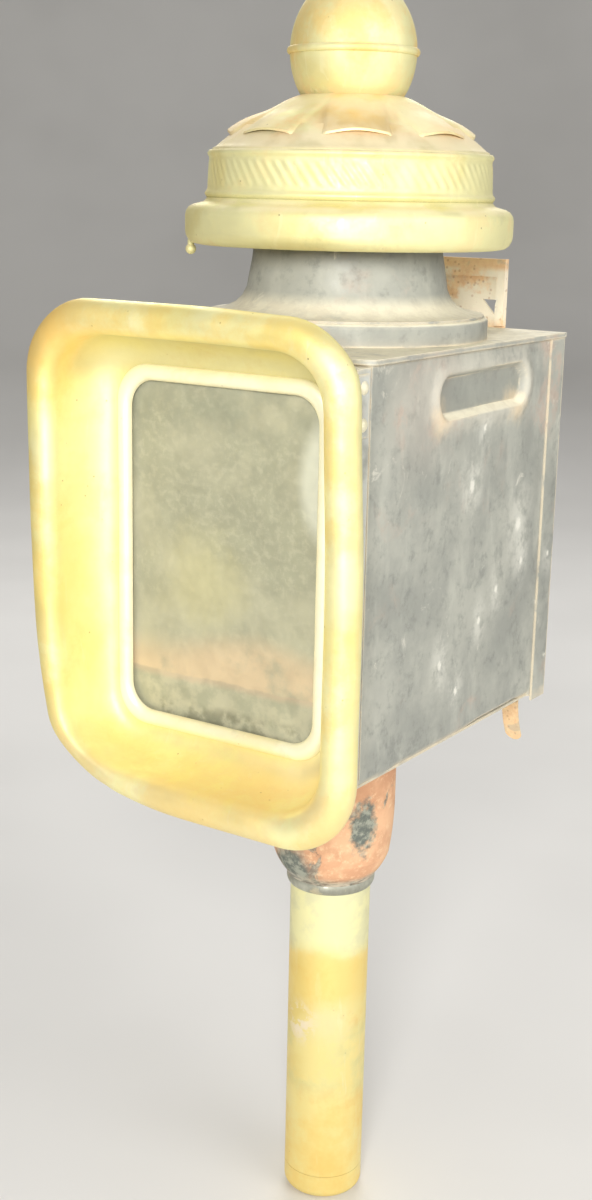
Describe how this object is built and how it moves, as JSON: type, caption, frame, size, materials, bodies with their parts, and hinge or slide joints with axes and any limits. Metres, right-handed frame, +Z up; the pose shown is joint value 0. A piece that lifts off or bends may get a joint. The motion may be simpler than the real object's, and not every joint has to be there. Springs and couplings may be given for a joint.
{
  "type": "railway carriage candle lantern",
  "caption": "Square-bodied candle lamp for a railway carriage: glazed front door with a flared brass hood, vented brass cap, candle stem below and a rear channel for a lamp iron.",
  "frame": {"origin": "on the stem's axis, 4 mm below the collar ring that seats on the lamp bracket", "axes": "+Z up along the stem, -Y out through the window, +X towards the door's free side"},
  "size_m": [0.128, 0.1717, 0.4483],
  "materials": {
    "worn_black_paint": "worn satin black paint, dusty, with rust at the edges",
    "rusted_collar": "salmon rust with patches of old dark paint",
    "rusted_iron": "dry orange rust",
    "bezel_brass": "polished brass gone yellow, stained orange",
    "cap_brass": "dull lacquered brass with greenish edges",
    "stem_brass": "handled brass, scratched",
    "inner_brass": "sooted brass",
    "pale_bead": "pale cream-coloured brass beading",
    "soft_solder": "grey solder",
    "dull_steel": "dull steel",
    "sooty_tinplate": "soot-darkened tinplate",
    "silvered_reflector": "tarnished silvering",
    "dusty_glass": "clear plate under a film of dust",
    "wax": "candle wax",
    "wick_cotton": "burnt cotton"
  },
  "bodies": {
    "lamp_body": {"candle_tube": "stem_brass", "tube_collar": "rusted_collar", "collar_ring": "soft_solder", "candle_spring": "dull_steel", "candle_nozzle": "inner_brass", "side_sheet_right": "worn_black_paint", "side_sheet_left": "worn_black_paint", "back_sheet": "worn_black_paint", "floor_sheet": "worn_black_paint", "front_jamb": "worn_black_paint", "roof_plate": "worn_black_paint", "roof_drum": "worn_black_paint", "neck_foot": "worn_black_paint", "chimney_neck": "worn_black_paint", "inner_cone": "sooty_tinplate", "reflector": "silvered_reflector", "reflector_stays": "sooty_tinplate", "body_hinge_leaf_low": "worn_black_paint", "body_hinge_leaf_high": "worn_black_paint", "hinge_pins": "dull_steel", "catch_spring": "dull_steel", "hanger_plate": "rusted_iron", "iron_channel": "rusted_iron", "bracket_rivets": "rusted_iron", "spring_prong_right": "rusted_iron", "spring_prong_left": "rusted_iron", "prong_rivets": "rusted_iron"},
    "door": {"door_frame": "worn_black_paint", "glass_pane": "dusty_glass", "bezel": "bezel_brass", "window_bead": "pale_bead", "glass_clips": "dull_steel", "door_hinge_leaf_low": "worn_black_paint", "door_hinge_leaf_high": "worn_black_paint", "pull_tab": "worn_black_paint", "pull_tab_rivets": "cap_brass", "catch_lug": "dull_steel"},
    "cap": {"cap_rim": "cap_brass", "cap_shoulder": "cap_brass", "roped_band": "cap_brass", "vent_dome": "cap_brass", "cap_sleeve": "sooty_tinplate", "baffle_disc": "sooty_tinplate", "baffle_spacer": "sooty_tinplate", "finial_bolt": "dull_steel", "finial_nut": "dull_steel", "finial_lower": "cap_brass", "finial_upper": "cap_brass", "finial_bead": "cap_brass", "rim_stop": "cap_brass"},
    "stem_cap": {"end_cap": "stem_brass"},
    "follower": {"candle_follower": "inner_brass", "candle": "wax", "candle_wick": "wick_cotton"}
  },
  "joints": [
    {"name": "door_hinge", "type": "hinge", "parent": "lamp_body", "child": "door", "pos_m": [-0.0536, -0.06645, 0], "axis": [0, 0, -1], "range_deg": [0, 110]},
    {"name": "cap_lift", "type": "slide", "parent": "lamp_body", "child": "cap", "axis": [0, 0, 1], "range_m": [0, 0.03]},
    {"name": "end_cap_pull", "type": "slide", "parent": "lamp_body", "child": "stem_cap", "axis": [0, 0, -1], "range_m": [0, 0.025]},
    {"name": "follower_slide", "type": "slide", "parent": "lamp_body", "child": "follower", "axis": [0, 0, 1], "range_m": [-0.11, 0], "stiffness_N_per_m": 60, "springref_m": 0.05, "deforming": ["candle_spring"]}
  ]
}
